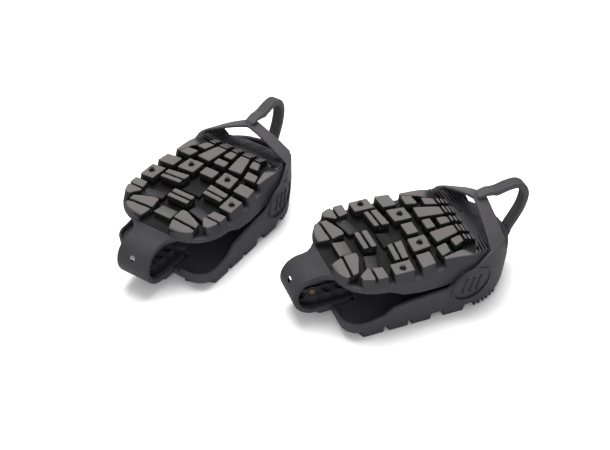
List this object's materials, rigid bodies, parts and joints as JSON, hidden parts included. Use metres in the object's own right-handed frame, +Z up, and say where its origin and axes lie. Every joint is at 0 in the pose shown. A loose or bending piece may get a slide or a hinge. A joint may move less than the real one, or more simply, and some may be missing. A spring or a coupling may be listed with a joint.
{
  "type": "folding boot traction soles",
  "caption": "Pair of folding rubber traction soles for hard boots, with lugged treads, steel studs, an adjustable strap and a pull loop on each.",
  "frame": {"origin": "centre of the pair's footprint, on the floor", "axes": "+X from the fold of the right sole to its heel, +Y from the right sole towards the left one, +Z up"},
  "size_m": [0.2642, 0.2008, 0.0649],
  "materials": {
    "rubber": "matte moulded",
    "brass": "dull",
    "steel": "worn at the tips"
  },
  "bodies": {
    "right_heel": {"right_heel_sole": "rubber", "right_heel_lip": "rubber", "right_heel_badge_near": "rubber", "right_heel_badge_far": "rubber", "right_adjuster_tongue": "rubber", "right_adjuster_screw": "brass", "right_adjuster_nut": "brass", "right_loop_root": "rubber", "right_loop_foot": "rubber"},
    "right_strap_end": {"right_strap_end": "rubber"},
    "right_link_1": {"right_strap_link_1": "rubber"},
    "right_link_2": {"right_strap_link_2": "rubber"},
    "right_link_3": {"right_strap_link_3": "rubber"},
    "right_link_4": {"right_strap_link_4": "rubber"},
    "right_link_5": {"right_strap_link_5": "rubber"},
    "right_toe": {"right_strap_root": "rubber", "right_toe_sole": "rubber", "right_toe_stud_1": "steel", "right_toe_stud_2": "steel", "right_toe_stud_3": "steel", "right_toe_stud_4": "steel"},
    "right_loop": {"right_pull_loop": "rubber"},
    "left_heel": {"left_heel_sole": "rubber", "left_heel_lip": "rubber", "left_heel_badge_near": "rubber", "left_heel_badge_far": "rubber", "left_adjuster_tongue": "rubber", "left_adjuster_screw": "brass", "left_adjuster_nut": "brass", "left_loop_root": "rubber", "left_loop_foot": "rubber"},
    "left_strap_end": {"left_strap_end": "rubber"},
    "left_link_1": {"left_strap_link_1": "rubber"},
    "left_link_2": {"left_strap_link_2": "rubber"},
    "left_link_3": {"left_strap_link_3": "rubber"},
    "left_link_4": {"left_strap_link_4": "rubber"},
    "left_link_5": {"left_strap_link_5": "rubber"},
    "left_toe": {"left_strap_root": "rubber", "left_toe_sole": "rubber", "left_toe_stud_1": "steel", "left_toe_stud_2": "steel", "left_toe_stud_3": "steel", "left_toe_stud_4": "steel"},
    "left_loop": {"left_pull_loop": "rubber"}
  },
  "joints": [
    {"name": "right_length", "type": "slide", "parent": "right_heel", "child": "right_strap_end", "axis": [-1, 0, 0], "range_m": [0, 0.0092]},
    {"name": "right_bend_1", "type": "hinge", "parent": "right_strap_end", "child": "right_link_1", "pos_m": [-0.02267, -0.05849, 0.007], "axis": [0, -1, 0], "range_deg": [0, 14.29]},
    {"name": "right_unfold", "type": "hinge", "parent": "right_link_1", "child": "right_link_2", "pos_m": [-0.03148, -0.05849, 0.00987], "axis": [0, -1, 0], "range_deg": [0, 36], "deforming": ["right_heel_lip", "right_loop_root"]},
    {"name": "right_bend_3", "type": "hinge", "parent": "right_link_2", "child": "right_link_3", "pos_m": [-0.03693, -0.05849, 0.01736], "axis": [0, -1, 0], "range_deg": [0, 36]},
    {"name": "right_bend_4", "type": "hinge", "parent": "right_link_3", "child": "right_link_4", "pos_m": [-0.03693, -0.05849, 0.02663], "axis": [0, -1, 0], "range_deg": [0, 36]},
    {"name": "right_bend_5", "type": "hinge", "parent": "right_link_4", "child": "right_link_5", "pos_m": [-0.03148, -0.05849, 0.03413], "axis": [0, -1, 0], "range_deg": [0, 36]},
    {"name": "right_bend_6", "type": "hinge", "parent": "right_link_5", "child": "right_toe", "pos_m": [-0.02267, -0.05849, 0.037], "axis": [0, -1, 0], "range_deg": [0, 21.72]},
    {"name": "right_loop_swing", "type": "hinge", "parent": "right_heel", "child": "right_loop", "pos_m": [0.10933, -0.05849, 0.0608], "axis": [0.3524, 0, -0.9358], "range_deg": [-18, 18], "stiffness_Nm_per_rad": 0.03},
    {"name": "left_length", "type": "slide", "parent": "left_heel", "child": "left_strap_end", "axis": [-0.8224, -0.5688, 0], "range_m": [0, 0.0092]},
    {"name": "left_bend_1", "type": "hinge", "parent": "left_strap_end", "child": "left_link_1", "pos_m": [-0.11263, 0.00452, 0.007], "axis": [0.5688, -0.8224, 0], "range_deg": [0, 14.29]},
    {"name": "left_unfold", "type": "hinge", "parent": "left_link_1", "child": "left_link_2", "pos_m": [-0.11988, -0.0005, 0.00987], "axis": [0.5688, -0.8224, 0], "range_deg": [0, 36], "deforming": ["left_heel_lip", "left_loop_root"]},
    {"name": "left_bend_3", "type": "hinge", "parent": "left_link_2", "child": "left_link_3", "pos_m": [-0.12436, -0.0036, 0.01736], "axis": [0.5688, -0.8224, 0], "range_deg": [0, 36]},
    {"name": "left_bend_4", "type": "hinge", "parent": "left_link_3", "child": "left_link_4", "pos_m": [-0.12436, -0.0036, 0.02663], "axis": [0.5688, -0.8224, 0], "range_deg": [0, 36]},
    {"name": "left_bend_5", "type": "hinge", "parent": "left_link_4", "child": "left_link_5", "pos_m": [-0.11988, -0.0005, 0.03413], "axis": [0.5688, -0.8224, 0], "range_deg": [0, 36]},
    {"name": "left_bend_6", "type": "hinge", "parent": "left_link_5", "child": "left_toe", "pos_m": [-0.11263, 0.00452, 0.037], "axis": [0.5688, -0.8224, 0], "range_deg": [0, 21.72]},
    {"name": "left_loop_swing", "type": "hinge", "parent": "left_heel", "child": "left_loop", "pos_m": [-0.00407, 0.07961, 0.0608], "axis": [0.2898, 0.2005, -0.9358], "range_deg": [-18, 18], "stiffness_Nm_per_rad": 0.03},
    {"name": "left_apart", "type": "slide", "parent": "right_heel", "child": "left_heel", "axis": [-0.7341, 0.6791, 0], "range_m": [0, 0.15]}
  ],
  "couplings": [
    {"joint": "right_bend_1", "follows": "right_unfold", "ratio": 0.3969},
    {"joint": "right_bend_3", "follows": "right_unfold", "ratio": 1},
    {"joint": "right_bend_4", "follows": "right_unfold", "ratio": 1},
    {"joint": "right_bend_5", "follows": "right_unfold", "ratio": 1},
    {"joint": "right_bend_6", "follows": "right_unfold", "ratio": 0.6031},
    {"joint": "left_bend_1", "follows": "left_unfold", "ratio": 0.3969},
    {"joint": "left_bend_3", "follows": "left_unfold", "ratio": 1},
    {"joint": "left_bend_4", "follows": "left_unfold", "ratio": 1},
    {"joint": "left_bend_5", "follows": "left_unfold", "ratio": 1},
    {"joint": "left_bend_6", "follows": "left_unfold", "ratio": 0.6031}
  ]
}
